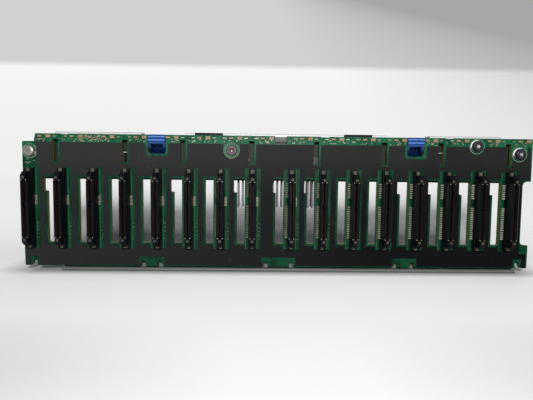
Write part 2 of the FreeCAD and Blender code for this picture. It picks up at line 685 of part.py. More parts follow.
def release_latch(bay):
    """Lift-up latch: ribbed lip in the board's notch, finger scoop under it, body behind."""
    x = latch_x(bay)
    half = LATCH_WIDTH / 2
    lip_front = BOARD_FRONT - LATCH_PROUD
    lip_bottom = BOARD_TOP - LATCH_LIP_HEIGHT
    cheek_bottom = BOARD_TOP - LATCH_NOTCH_DEPTH + LATCH_CLEARANCE
    latch = length_of(latch_profile(lip_front, lip_bottom, cheek_bottom), x - half, x + half)
    latch = latch.cut(latch_scoop(x, half, lip_bottom, cheek_bottom))
    pitch = LATCH_LIP_HEIGHT / LATCH_RIB_COUNT
    for k in range(LATCH_RIB_COUNT):
        z = BOARD_TOP - k * pitch
        ridge = [(lip_front, z), (lip_front - LATCH_RIB_HEIGHT, z), (lip_front, z - pitch / 2)]
        latch = latch.fuse(length_of(ridge, x - half, x + half))
    reach, pin = STOP_PIN_REACH, up(STOP_PIN_HEIGHT)
    slot = block(x - LATCH_WIDTH, x + LATCH_WIDTH, STOP_PIN_Y - reach, STOP_PIN_Y + reach,
                 pin - LATCH_TRAVEL - reach, pin + reach)
    return latch.cut(slot).removeSplitter()


def latch_guide(bay):
    """Three-sided channel behind the board that the latch slides in."""
    x = latch_x(bay)
    inner = LATCH_NOTCH_WIDTH / 2
    outer = inner + GUIDE_WALL
    rear_inner = LATCH_REAR + LATCH_CLEARANCE
    floor_top = up(LATCH_BODY_BOTTOM)
    bottom = floor_top - GUIDE_FLOOR
    top = BOARD_TOP - WINDOW_CLEARANCE
    shell = block(x - outer, x + outer, BOARD_REAR, rear_inner + GUIDE_WALL, bottom, top)
    cavity = block(x - inner, x + inner, BOARD_REAR, rear_inner, floor_top, top)
    reach = outer + GUIDE_EAR
    ears = block(x - reach, x + reach, SHEET_REAR, SHEET_REAR + GUIDE_WALL, bottom, up(STOP_PIN_HEIGHT))
    return shell.fuse(ears).cut([cavity, stop_pin(bay)]).removeSplitter()


def stop_pin(bay):
    """Pin across a guide, through the slot of its latch."""
    outer = LATCH_NOTCH_WIDTH / 2 + GUIDE_WALL
    x = latch_x(bay)
    return cross_bar(STOP_PIN_Y, up(STOP_PIN_HEIGHT), STOP_PIN_RADIUS, x - outer, x + outer)


# ---------------------------------------------------------------- fixings
def shank(x, z, y0):
    """Part of a fixing inside the board and its spacer."""
    return bar(x, z, SHANK_RADIUS, y0, SHEET_FRONT)


def washers():
    rings = []
    for x, z in [stud_place()] + screw_places():
        y0, y1 = BOARD_FRONT - WASHER_THICKNESS, BOARD_FRONT
        rings.append(bar(x, z, WASHER_RADIUS, y0, y1, HEAD_SIDES).cut(bar(x, z, SHANK_RADIUS, y0, y1)))
    return Part.makeCompound(rings)


def corner_stud():
    """Round-headed stud at the lowered corner, with a centre dimple."""
    x, z = stud_place()
    seat = BOARD_FRONT - WASHER_THICKNESS
    face = seat - STUD_HEAD_HEIGHT
    head = front_bevelled(bar(x, z, STUD_HEAD_RADIUS, face, seat, HEAD_SIDES), STUD_HEAD_BEVEL)
    dimple = bar(x, z, STUD_DIMPLE_RADIUS, face, face + STUD_DIMPLE_DEPTH, sides=6)
    return head.cut(dimple).fuse(shank(x, z, seat)).removeSplitter()


def star_recess(x, z, face):
    """Lobed driver recess."""
    corners = []
    for k in range(2 * DRIVE_LOBES):
        radius = DRIVE_RADIUS if k % 2 == 0 else DRIVE_VALLEY
        angle = math.pi * k / DRIVE_LOBES
        corners.append((x + radius * math.cos(angle), z + radius * math.sin(angle)))
    return plate(corners, face, face + DRIVE_DEPTH)


def board_screws():
    screws = []
    for x, z in screw_places():
        seat = BOARD_FRONT - WASHER_THICKNESS
        face = seat - SCREW_HEAD_HEIGHT
        head = front_bevelled(bar(x, z, SCREW_HEAD_RADIUS, face, seat, HEAD_SIDES), SCREW_HEAD_BEVEL)
        screws.append(head.cut(star_recess(x, z, face)).fuse(shank(x, z, seat)).removeSplitter())
    return Part.makeCompound(screws)


def centre_rivet():
    """Tubular rivet beside the expander."""
    x, z = rivet_place()
    face = BOARD_FRONT - RIVET_HEIGHT
    rivet = bar(x, z, RIVET_RADIUS, face, BOARD_FRONT, HEAD_SIDES).fuse(shank(x, z, BOARD_FRONT))
    return rivet.cut(bar(x, z, RIVET_BORE, face, BOARD_REAR)).removeSplitter()


def spacers(places):
    """Hexagonal spacers between the board and a stiffener, each round its screw."""
    rings = []
    for x, z in places:
        body = bar(x, z, SPACER_RADIUS, BOARD_REAR, SHEET_FRONT, sides=6)
        rings.append(body.cut(bar(x, z, SHANK_RADIUS, BOARD_REAR, SHEET_FRONT)))
    return Part.makeCompound(rings)


def foot_screws():
    """Hexagon-headed screws through the foot rail into its spacers."""
    screws = []
    for x, z in foot_screw_places():
        head = bar(x, z, BACK_HEAD_RADIUS, SHEET_REAR, SHEET_REAR + BACK_HEAD_HEIGHT, sides=6)
        screws.append(head.fuse(bar(x, z, SHANK_RADIUS, BOARD_REAR, SHEET_REAR)).removeSplitter())
    return Part.makeCompound(screws)


# ----------------------------------------------------- expander and cooling
def expander_chip():
    y0, y1 = BOARD_REAR, BOARD_REAR + CHIP_THICKNESS
    return centred(EXPANDER_X, up(EXPANDER_HEIGHT), CHIP_SIZE, CHIP_SIZE, y0, y1)


def thermal_pad():
    side = CHIP_SIZE - 2 * PAD_MARGIN
    return centred(EXPANDER_X, up(EXPANDER_HEIGHT), side, side, BOARD_REAR + CHIP_THICKNESS, SHEET_REAR)


def heat_sink():
    """Plate with upright fins that hang below it across the air slots."""
    span = (FIN_COUNT - 1) * FIN_PITCH + FIN_THICKNESS
    left = EXPANDER_X - span / 2
    root = SHEET_REAR + SINK_BASE
    tip = root + FIN_DEPTH
    high = BOARD_TOP - SINK_TOP_DROP
    low = up(VENT_TOP) - FIN_HANG
    base = block(left, left + span, SHEET_REAR, root, up(VENT_TOP), high)
    starts = [left + k * FIN_PITCH for k in range(FIN_COUNT)]
    fins = [block(x, x + FIN_THICKNESS, root, tip, low, high) for x in starts]
    bite = SHEET_REAR + SINK_SCREW_BITE
    bores = [bar(x, z, SINK_SCREW_RADIUS, SHEET_REAR, bite) for x, z in sink_screw_places()]
    return base.multiFuse(fins).removeSplitter().cut(bores)


def sink_screws():
    """Hexagon-headed screws from the board side into the heat sink."""
    screws = []
    for x, z in sink_screw_places():
        head = bar(x, z, BACK_HEAD_RADIUS, SHEET_FRONT - BACK_HEAD_HEIGHT, SHEET_FRONT, sides=6)
        thread = bar(x, z, SINK_SCREW_RADIUS, SHEET_FRONT, SHEET_REAR + SINK_SCREW_BITE)
        screws.append(head.fuse(thread).removeSplitter())
    return Part.makeCompound(screws)


# ------------------------------------------------------------- rear sockets
def link_socket(x):
    """Upward-facing receptacle for one host cable, with its contact tongue."""
    half = LINK_WIDTH / 2
    top = BOARD_TOP + LINK_RISE
    rear = BOARD_REAR + LINK_DEPTH
    floor = top - LINK_MOUTH_DEPTH
    shell = block(x - half, x + half, BOARD_REAR, rear, top - LINK_HEIGHT, top)
    inner = half - LINK_WALL
    mouth = block(x - inner, x + inner, BOARD_REAR + LINK_WALL, rear - LINK_WALL, floor, top)
    tongue_front = BOARD_REAR + LINK_WALL + LINK_TONGUE_GAP
    tongue_half = inner - LINK_WALL
    tongue_rear = tongue_front + LINK_TONGUE
    tongue = block(x - tongue_half, x + tongue_half, tongue_front, tongue_rear, floor, top - LINK_RISE)
    return shell.cut(mouth.cut(tongue))


def pin_header(x, size, depth, shroud):
    """Open shroud facing rearwards, with a keyway in its upper wall."""
    z = up(SOCKET_HEIGHT)
    rear = BOARD_REAR + depth
    body = centred(x, z, size[0], size[1], BOARD_REAR, rear)
    hollow = centred(x, z, size[0] - 2 * shroud, size[1] - 2 * shroud, BOARD_REAR + SOCKET_FLOOR, rear)
    keyway = centred(x, z + size[1] / 2, POWER_PITCH, 2 * shroud, BOARD_REAR + depth / 2, rear)
    return body.cut([hollow, keyway])


def header_pins(x, columns, pitch, depth):
    pins = []
    y0, y1 = BOARD_REAR + SOCKET_FLOOR, BOARD_REAR + depth - PIN_INSET
    for column in range(columns):
        px = x + (column - (columns - 1) / 2) * pitch
        for row in (-0.5, 0.5):
            pins.append(centred(px, up(SOCKET_HEIGHT) + row * pitch, PIN_THICKNESS, PIN_THICKNESS, y0, y1))
    return pins


def power_pins():
    pins = []
    for spot in POWER_PLACES:
        pins += header_pins(place(*spot), POWER_COLUMNS, POWER_PITCH, POWER_DEPTH)
    return Part.makeCompound(pins)


def signal_pins():
    return Part.makeCompound(header_pins(place(*SIGNAL_PLACE), SIGNAL_COLUMNS, SIGNAL_PITCH, SIGNAL_DEPTH))


# -------------------------------------------------------- small components
def status_lights(shift, size):
    y0, y1 = BOARD_FRONT - LIGHT_THICKNESS, BOARD_FRONT
    return Part.makeCompound([centred(place(bay, shift), BOARD_TOP - LIGHT_DROP, size[0], size[1], y0, y1)
                              for bay in range(1, BAY_COUNT + 1)])


def column_parts(first, size, height):
    """Rear components on every other solid column of the board, from the first bay on."""
    y0, y1 = BOARD_REAR, BOARD_REAR + size[1]
    return Part.makeCompound([centred(connector_x(bay) + COLUMN_SHIFT, up(height), size[0], size[2], y0, y1)
                              for bay in range(first, BAY_COUNT + 1, 2)])


def build():
    half = BAY_COUNT // 2
    link_left, link_right = link_sockets_x()
    power_left, power_right = [place(*spot) for spot in POWER_PLACES]
    nodes = {
        "circuit_board": circuit_board(),
        "insulator_film": insulator_film(),
        "solder_tails_left_bank": solder_tails(range(1, half + 1)),
        "solder_tails_right_bank": solder_tails(range(half + 1, BAY_COUNT + 1)),
        "connector_hold_downs": hold_downs(),
        "top_stiffener": top_stiffener(),
        "foot_stiffener": foot_stiffener(),
        "release_latch_left": release_latch(LATCH_BAYS[0]),
        "release_latch_right": release_latch(LATCH_BAYS[1]),
        "latch_guide_left": latch_guide(LATCH_BAYS[0]),
        "latch_guide_right": latch_guide(LATCH_BAYS[1]),
        "latch_stop_pins": Part.makeCompound([stop_pin(bay) for bay in LATCH_BAYS]),
        "screw_washers": washers(),
        "corner_stud": corner_stud(),
        "board_screws": board_screws(),
        "centre_rivet": centre_rivet(),
        "board_spacers": spacers(fixings()),
        "foot_spacers": spacers(foot_screw_places()),
        "foot_screws": foot_screws(),
        "expander_chip": expander_chip(),
        "thermal_pad": thermal_pad(),
        "heat_sink": heat_sink(),
        "heat_sink_screws": sink_screws(),
        "host_link_socket_left": link_socket(link_left),
        "host_link_socket_right": link_socket(link_right),
        "power_socket_left": pin_header(power_left, POWER_SIZE, POWER_DEPTH, POWER_SHROUD),
        "power_socket_right": pin_header(power_right, POWER_SIZE, POWER_DEPTH, POWER_SHROUD),
        "signal_socket": pin_header(place(*SIGNAL_PLACE), SIGNAL_SIZE, SIGNAL_DEPTH, SIGNAL_SHROUD),
        "power_pins": power_pins(),
        "signal_pins": signal_pins(),
        "status_lights_narrow": status_lights(LIGHT_SHIFTS[0], LIGHT_SIZE_NARROW),
        "status_lights_wide": status_lights(LIGHT_SHIFTS[1], LIGHT_SIZE_WIDE),
        "rear_capacitors": column_parts(1, CAPACITOR, CONNECTOR_MID - CAPACITOR_DROP),
        "bay_power_switches": column_parts(2, SWITCH, CONNECTOR_MID - SWITCH_DROP),
    }
    for bay in range(1, BAY_COUNT + 1):
        nodes["drive_connector_%02d" % bay] = connector_housing(bay)
    return nodes


for name, shape in build().items():
    shape.exportStep("parts/%s.step" % name)
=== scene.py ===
"""Looks of the drive backplane board: materials, soldered and printed detail, light and camera."""
import json
import math
import random

import bmesh
import bpy
from mathutils import Matrix, Vector


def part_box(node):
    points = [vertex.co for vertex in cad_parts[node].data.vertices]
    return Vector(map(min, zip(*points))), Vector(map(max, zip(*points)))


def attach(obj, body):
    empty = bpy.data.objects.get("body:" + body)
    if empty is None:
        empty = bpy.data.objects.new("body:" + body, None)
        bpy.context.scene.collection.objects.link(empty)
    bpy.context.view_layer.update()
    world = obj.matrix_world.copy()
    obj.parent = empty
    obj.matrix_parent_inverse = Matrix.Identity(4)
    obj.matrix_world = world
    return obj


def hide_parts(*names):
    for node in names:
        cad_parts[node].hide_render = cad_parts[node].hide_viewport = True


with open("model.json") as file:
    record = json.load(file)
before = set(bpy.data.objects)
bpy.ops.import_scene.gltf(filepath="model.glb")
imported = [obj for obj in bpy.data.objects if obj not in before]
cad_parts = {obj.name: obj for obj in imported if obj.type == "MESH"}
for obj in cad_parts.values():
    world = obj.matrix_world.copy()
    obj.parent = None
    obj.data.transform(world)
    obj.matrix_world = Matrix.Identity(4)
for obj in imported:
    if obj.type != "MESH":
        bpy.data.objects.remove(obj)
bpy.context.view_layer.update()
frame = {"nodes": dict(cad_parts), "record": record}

MM = 0.001
BAY_COUNT = 16
BAYS = range(1, BAY_COUNT + 1)


# ------------------------------------------------------------------ node trees
class Value:
    """An output of a node tree that works in arithmetic."""

    def __init__(self, graph, socket):
        self.graph = graph
        self.socket = socket

    def __add__(self, other):
        return self.graph.math("ADD", self, other)

    def __sub__(self, other):
        return self.graph.math("SUBTRACT", self, other)

    def __rsub__(self, other):
        return self.graph.math("SUBTRACT", other, self)

    def __mul__(self, other):
        return self.graph.math("MULTIPLY", self, other)

    def __gt__(self, other):
        return self.graph.math("GREATER_THAN", self, other)

    __radd__ = __add__
    __rmul__ = __mul__


class Graph:
    """A shader or geometry tree, written as Python expressions."""

    def __init__(self, tree):
        self.tree = tree
        tree.nodes.clear()

    def node(self, kind, sockets=None, output=0, **settings):
        """Any node: its type, values or links for its sockets, the output to use and its settings."""
        node = self.tree.nodes.new(kind)
        for name, value in settings.items():
            setattr(node, name, value)
        for key, value in (sockets or {}).items():
            self.feed(node.inputs[key], value)
        return Value(self, node.outputs[output]) if node.outputs else None

    def feed(self, socket, value):
        if isinstance(value, Value):
            self.tree.links.new(value.socket, socket)
        else:
            socket.default_value = value

    def math(self, operation, *values):
        return self.node("ShaderNodeMath", dict(enumerate(values)), operation=operation)

    def between(self, value, low, high):
        """0 at low and beyond, 1 at high and beyond, with a straight change between them."""
        return self.node("ShaderNodeMapRange", {0: value, 1: low, 2: high, 3: 0.0, 4: 1.0})

    def blend(self, share, first, second):
        """Colour mix: the first colour at share 0, the second at 1."""
        return self.node("ShaderNodeMix", {0: share, 6: first, 7: second}, output=2, data_type="RGBA")

    def place(self):
        return self.node("ShaderNodeTexCoord", output="Object")

    def stretched(self, x, y, z):
        return self.node("ShaderNodeMapping", {"Vector": self.place(), "Scale": (x, y, z)})

    def noise(self, where, scale, detail=3.0, roughness=0.5):
        sockets = {"Vector": where, "Scale": scale, "Detail": detail, "Roughness": roughness}
        return self.node("ShaderNodeTexNoise", sockets)

    def bump(self, height, depth, strength=0.5):
        return self.node("ShaderNodeBump", {"Height": height, "Distance": depth, "Strength": strength})

    def part(self, vector, axis):
        return self.node("ShaderNodeSeparateXYZ", {0: vector}, output=axis)

    def normal(self):
        return self.node("ShaderNodeNewGeometry", output="Normal")

    def seen(self):
        """1 for what the camera sees straight, in a mirror or through glass, and 0 for light."""
        straight, mirror, glass = (self.node("ShaderNodeLightPath", output=name) for name in
                                   ("Is Camera Ray", "Is Glossy Ray", "Is Transmission Ray"))
        return self.math("MAXIMUM", self.math("MAXIMUM", straight, mirror), glass)


def colour(red, green, blue):
    return (red, green, blue, 1.0)


def shader(name, recipe):
    """A material whose surface sockets are what the recipe returns."""
    made = bpy.data.materials.new(name)
    made.use_nodes = True
    graph = Graph(made.node_tree)
    surface = graph.node("ShaderNodeBsdfPrincipled", recipe(graph))
    graph.node("ShaderNodeOutputMaterial", {"Surface": surface})
    return made


# ------------------------------------------------------------------- materials
# Each recipe gives the sockets of one finish. Its named places and heights are metres in the frame.
def plain(main, worn, rough=0.5, metal=0.0, grain=500.0, shine=0.5, stretch=(1, 1, 1)):
    """Recipe for a surface that drifts between two colours, with a fine grain."""
    def recipe(g):
        where = g.stretched(*stretch)
        drift = g.noise(where, grain * 0.25)
        fine = g.noise(where, grain)
        return {"Base Color": g.blend(g.between(drift, 0.35, 0.7), main, worn),
                "Roughness": rough + (fine - 0.5) * 0.25,
                "Metallic": metal,
                "Specular IOR Level": shine,
                "Normal": g.bump(fine, 0.00002)}
    return recipe


def laminate(g):
    """Green mask over copper on the faces, paler in the upper strip; bare glass laminate on the cut walls."""
    strip_low, strip_high = 0.062, 0.072
    where = g.place()
    tracks = g.noise(g.stretched(1, 1, 0.12), 900.0, 1.0)
    pours = g.noise(where, 90.0, 2.0)
    copper = g.between(pours * 0.6 + tracks * 0.4, 0.44, 0.52)
    lower = g.blend(copper, colour(0.0004, 0.016, 0.007), colour(0.0008, 0.030, 0.013))
    upper = g.blend(copper, colour(0.002, 0.038, 0.018), colour(0.005, 0.065, 0.031))
    mask = g.blend(g.between(g.part(where, "Z"), strip_low, strip_high), lower, upper)
    weave = g.noise(g.stretched(1, 8, 1), 700.0)
    wall = g.blend(weave, colour(0.11, 0.085, 0.018), colour(0.05, 0.075, 0.02))
    face = g.math("ABSOLUTE", g.part(g.normal(), "Y")) > 0.6
    return {"Base Color": g.blend(face, wall, mask),
            "Roughness": 0.4 + (weave - 0.5) * 0.2,
            "Specular IOR Level": 0.06,
            "Coat Weight": face * 0.02,
            "Normal": g.bump(tracks, 0.00004, 0.4)}


def film(g):
    """Dull black film with faint scuffs; painted light makes it greyer towards its upper edge, and a painted
    sheen makes it greyer towards its left end.
    """
    painted_shade_up_to, painted_light_from = 0.045, 0.066
    right, left = 0.06, -0.14
    where = g.place()
    sheen = g.noise(where, 14.0, 2.0)
    grain = g.noise(where, 1500.0, 2.0)
    scuffs = g.between(g.noise(g.stretched(1, 1, 0.25), 220.0, 5.0, 0.7), 0.62, 0.72)
    low = g.blend(sheen, colour(0.0015, 0.0015, 0.002), colour(0.003, 0.003, 0.0035))
    high = g.blend(sheen, colour(0.007, 0.007, 0.0075), colour(0.016, 0.016, 0.0155))
    # Painted light and shade: darker low down, greyer towards the upper edge as if lit from above.
    base = g.blend(g.between(g.part(where, "Z"), painted_shade_up_to, painted_light_from), low, high)
    # Painted sheen: the film turns greyer towards its left end.
    painted_sheen_grey = g.blend(0.5, base, colour(0.024, 0.024, 0.024))
    base = g.blend(g.between(g.part(where, "X"), right, left), base, painted_sheen_grey)
    return {"Base Color": g.blend(scuffs * 0.25, base, colour(0.03, 0.03, 0.03)),
            "Roughness": 0.55 + (grain - 0.5) * 0.3,
            "Specular IOR Level": 0.03,
            "Normal": g.bump(grain, 0.00003, 0.5)}


def latch_blue(g):
    """Blue plastic with rubbed patches, a painted highlight on the crests of the ribs of the lip and painted
    shade in the finger scoop.
    """
    ribs_start, ribs_per_metre = 0.0741, 520.0
    ribs_low, ribs_high = 0.0742, 0.0745
    scoop_top, scoop_painted_shade_from = 0.0722, 0.0712
    where = g.place()
    grain = g.noise(where, 900.0)
    worn = g.between(g.noise(where, 260.0, 4.0), 0.55, 0.75)
    height = g.part(where, "Z")
    # Painted highlight along the crests of the ribs.
    crest_highlight = g.between(g.math("FRACT", (height - ribs_start) * ribs_per_metre), 0.62, 0.72)
    painted_rib_highlight = crest_highlight * g.between(height, ribs_low, ribs_high)
    body = g.blend(worn * 0.4, colour(0.006, 0.034, 0.14), colour(0.025, 0.075, 0.22))
    # Painted shade in the finger scoop.
    body = g.blend(g.between(height, scoop_top, scoop_painted_shade_from), body, colour(0.001, 0.006, 0.026))
    return {"Base Color": g.blend(painted_rib_highlight * 0.8, body, colour(0.075, 0.18, 0.44)),
            "Specular IOR Level": 0.15,
            "Roughness": 0.33 + (grain - 0.5) * 0.2,
            "Coat Weight": 0.1,
            "Normal": g.bump(grain, 0.00003)}


def connector_black(g):
    """Moulded black with fine draw lines along the housing."""
    lines = g.noise(g.stretched(1, 1, 0.02), 1600.0, 2.0)
    cloud = g.noise(g.place(), 120.0)
    return {"Base Color": g.blend(cloud, colour(0.0015, 0.0015, 0.002), colour(0.004, 0.0045, 0.006)),
            "Roughness": 0.34 + (lines - 0.5) * 0.3,
            "Specular IOR Level": 0.05,
            "Normal": g.bump(lines, 0.00006, 0.6)}


def sheet_steel(g):
    """Dull plated sheet with painted shade across the middle of its web and a painted highlight along its
    upper folded edge.
    """
    web_low, web_shade_from = 0.050, 0.056
    web_high, web_shade_to = 0.0762, 0.0752
    edge_low, edge_high = 0.0783, 0.0790
    where = g.place()
    height = g.part(where, "Z")
    drawn = g.noise(g.stretched(0.15, 1, 1), 260.0)
    fine = g.noise(where, 900.0)
    dull = g.blend(drawn, colour(0.060, 0.064, 0.060), colour(0.105, 0.11, 0.105))
    # Painted shade between the board and the sheet.
    painted_web_shade = g.between(height, web_low, web_shade_from) * g.between(height, web_high, web_shade_to)
    dull = g.blend(painted_web_shade, dull, colour(0.010, 0.014, 0.010))
    # Painted highlight along the upper folded edge.
    painted_edge_highlight = g.between(height, edge_low, edge_high)
    return {"Base Color": g.blend(painted_edge_highlight, dull, colour(0.45, 0.46, 0.46)),
            "Roughness": 0.5 + (fine - 0.5) * 0.2,
            "Metallic": painted_edge_highlight * 0.5,
            "Specular IOR Level": 0.1,
            "Normal": g.bump(fine, 0.00002)}


def washer_steel(g):
    """Dull and patchy under the stud at the left; black under the screws at the right, with a painted
    highlight on the rim where it faces up and left.
    """
    left, right = -0.1, 0.0
    where = g.place()
    fine = g.noise(where, 700.0)
    under_screws = g.between(g.part(where, "X"), left, right)
    patches = g.between(g.noise(where, 420.0, 1.0), 0.54, 0.60)
    dull = g.blend(patches, colour(0.006, 0.030, 0.015), colour(0.20, 0.17, 0.11))
    normal = g.normal()
    # Painted highlight on the rim where it faces up and to the left.
    painted_rim_highlight = g.between(g.part(normal, "Z") - g.part(normal, "X"), 0.35, 0.6)
    black = g.blend(painted_rim_highlight, colour(0.018, 0.018, 0.020), colour(0.62, 0.62, 0.60))
    return {"Base Color": g.blend(under_screws, dull, black),
            "Roughness": 0.35 + fine * 0.15,
            "Metallic": under_screws * 0.3,
            "Normal": g.bump(fine, 0.00002)}


RECIPES = {
    "laminate": laminate,
    "film": film,
    "latch_blue": latch_blue,
    "connector_black": connector_black,
    "sheet_steel": sheet_steel,
    "washer_steel": washer_steel,
    "tin": plain(colour(0.28, 0.25, 0.18), colour(0.15, 0.135, 0.10), rough=0.45, metal=0.5, grain=900.0),
    "strap_tin": plain(colour(0.06, 0.052, 0.034), colour(0.03, 0.026, 0.018), rough=0.6, metal=0.1,
                       grain=900.0, shine=0.2),
    "pad_tin": plain(colour(0.21, 0.18, 0.12), colour(0.11, 0.10, 0.07), rough=0.45, metal=0.3, grain=1500.0),
    "bright_steel": plain(colour(0.22, 0.21, 0.19), colour(0.14, 0.13, 0.12), rough=0.42, metal=0.7,
                          grain=700.0),
    # Paler than the other steel: a painted reflection in the screw sockets.
    "star_steel": plain(colour(0.40, 0.40, 0.39), colour(0.28, 0.28, 0.27), rough=0.4, metal=0.3,
                        grain=700.0),
    "black_steel": plain(colour(0.006, 0.006, 0.010), colour(0.014, 0.014, 0.020), rough=0.35, grain=900.0,
                         shine=0.25),
    "copper_plate": plain(colour(0.052, 0.027, 0.024), colour(0.035, 0.018, 0.017), rough=0.6, metal=0.1,
                          grain=700.0),
    "contact_brown": plain(colour(0.026, 0.011, 0.004), colour(0.012, 0.005, 0.002), metal=0.1, grain=900.0,
                           shine=0.1),
    "dark_aluminium": plain(colour(0.05, 0.05, 0.055), colour(0.09, 0.09, 0.095), rough=0.45, metal=0.7,
                            stretch=(1, 1, 0.1)),
    "chip_black": plain(colour(0.012, 0.012, 0.013), colour(0.03, 0.03, 0.03), rough=0.55, grain=900.0),
    "chip_tan": plain(colour(0.10, 0.07, 0.04), colour(0.16, 0.13, 0.09), grain=1500.0),
    "pad_grey": plain(colour(0.25, 0.26, 0.28), colour(0.18, 0.19, 0.2), rough=0.8, grain=600.0),
    "guide_plastic": plain(colour(0.015, 0.015, 0.016), colour(0.03, 0.03, 0.03)),
    "socket_black": plain(colour(0.010, 0.010, 0.011), colour(0.018, 0.018, 0.020), rough=0.85, shine=0.02),
    "lamp_amber": plain(colour(0.15, 0.09, 0.045), colour(0.20, 0.135, 0.08), grain=900.0, shine=0.2),
    "capacitor_tan": plain(colour(0.45, 0.25, 0.06), colour(0.36, 0.19, 0.05), rough=0.45),
    "print": plain(colour(0.034, 0.066, 0.038), colour(0.018, 0.042, 0.022), rough=0.8, grain=1500.0,
                   shine=0.1),
    "ring_print": plain(colour(0.13, 0.20, 0.13), colour(0.07, 0.13, 0.08), rough=0.8, grain=1500.0),
}
MATERIALS = {name: shader(name, recipe) for name, recipe in RECIPES.items()}
NODE_FINISH = {"connector_hold_downs": "strap_tin", "heat_sink_screws": "black_steel"}


def dress_frame():
    """Every CAD node takes the material of its slot in the record, or a finish of its own."""
    for row in frame["record"]["subparts"]:
        mesh = frame["nodes"][row["node"]].data
        mesh.materials.clear()
        mesh.materials.append(MATERIALS[NODE_FINISH.get(row["node"], row["material_slot"])])


# -------------------------------------------------------- what the frame gives
BOARD_LOW, BOARD_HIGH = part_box("circuit_board")
FRONT = BOARD_LOW.y
CONNECTORS = [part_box("drive_connector_%02d" % bay) for bay in BAYS]
LATCHES = [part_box(node) for node in ("release_latch_left", "release_latch_right")]


def connector_line(bay):
    """Centre line of a bay's connector, bays counted from 1."""
    low, high = CONNECTORS[bay - 1]
    return (low.x + high.x) / 2


def above_edge(height):
    """World height of a point given in millimetres above the board's lower edge."""
    return BOARD_LOW.z + height * MM


def on_front(x, z, thickness):
    """Middle of a piece of some thickness, in millimetres, that lies on the front of the board."""
    return Vector((x, FRONT - thickness * MM / 2, z))


def before_front(x, z, distance):
    """Point some millimetres in front of the board."""
    return Vector((x, FRONT - distance * MM, z))


def flat_size(width, height, thickness):
    """Size of a piece that lies on the front of the board, from millimetres."""
    return (width * MM, thickness * MM, height * MM)


# ------------------------------------------------------------- repeated pieces
def repeater(solid):
    """Geometry tree that puts one solid on every point of a mesh."""
    tree = bpy.data.node_groups.new("repeat " + solid, "GeometryNodeTree")
    face = tree.interface
    face.new_socket("Geometry", in_out="INPUT", socket_type="NodeSocketGeometry")
    for name, kind in (("Size", "Vector"), ("Turn", "Vector"), ("Spread", "Float"), ("Seed", "Int"),
                       ("Piece", "Object"), ("Material", "Material")):
        face.new_socket(name, in_out="INPUT", socket_type="NodeSocket" + kind)
    face.new_socket("Geometry", in_out="OUTPUT", socket_type="NodeSocketGeometry")
    graph = Graph(tree)
    entry = tree.nodes.new("NodeGroupInput")
    given = {socket.name: Value(graph, socket) for socket in entry.outputs if socket.name}
    if solid == "block":
        piece = graph.node("GeometryNodeMeshCube")
    elif solid == "disc":
        piece = graph.node("GeometryNodeMeshCylinder", {"Vertices": 10, "Radius": 0.5, "Depth": 1.0})
    else:
        piece = graph.node("GeometryNodeObjectInfo", {"Object": given["Piece"]}, output="Geometry")
    points = graph.node("GeometryNodeMeshToPoints", {"Mesh": given["Geometry"]})
    scale = graph.node("FunctionNodeRandomValue", {2: 1.0 - given["Spread"], 3: 1.0, "Seed": given["Seed"]},
                       output=1, data_type="FLOAT")
    turned = graph.node("GeometryNodeTransform", {"Geometry": piece, "Rotation": given["Turn"]})
    sized = graph.node("GeometryNodeTransform", {"Geometry": turned, "Scale": given["Size"]})
    copies = graph.node("GeometryNodeInstanceOnPoints", {"Points": points, "Instance": sized, "Scale": scale})
    real = graph.node("GeometryNodeRealizeInstances", {"Geometry": copies})
    done = graph.node("GeometryNodeSetMaterial", {"Geometry": real, "Material": given["Material"]})
    graph.node("NodeGroupOutput", {0: done})
    return tree


REPEATERS = {solid: repeater(solid) for solid in ("block", "disc", "piece")}
UNTURNED = (0.0, 0.0, 0.0)
FLAT_ALONG_Y = (math.pi / 2, 0.0, 0.0)
AS_IT_IS = (1.0, 1.0, 1.0)


def scene_object(name, data):
    """A new object of the scene, round its mesh, lamp or camera."""
    thing = bpy.data.objects.new(name, data)
    bpy.context.scene.collection.objects.link(thing)
    return thing


def repeated(name, points, size, material, solid="block", spread=0.0, seed=1, piece=None):
    """One plain mesh of equal solids, each centred on a point and `size` metres across.

    Each copy is up to `spread` of its size smaller. The solid "piece" copies the object `piece`.
    """
    cloud = bpy.data.meshes.new(name + " points")
    cloud.from_pydata([tuple(point) for point in points], [], [])
    maker = scene_object(name + " maker", cloud)
    modifier = maker.modifiers.new("repeat", "NODES")
    modifier.node_group = REPEATERS[solid]
    values = {"Size": size, "Turn": FLAT_ALONG_Y if solid == "disc" else UNTURNED, "Spread": spread,
              "Seed": seed, "Piece": piece, "Material": MATERIALS[material]}
    for item in REPEATERS[solid].interface.items_tree:
        if item.in_out == "INPUT" and values.get(item.name) is not None:
            modifier[item.identifier] = values[item.name]
    graph = bpy.context.evaluated_depsgraph_get()
    mesh = bpy.data.meshes.new_from_object(maker.evaluated_get(graph))
    bpy.data.objects.remove(maker)
    return placed(name, mesh, material)


def placed(name, mesh, material):
    """Link a finished mesh that rides on the board and takes one material."""
    mesh.name = name
    mesh.materials.clear()
    mesh.materials.append(MATERIALS[material])
    thing = scene_object(name, mesh)
    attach(thing, "board")
    return thing


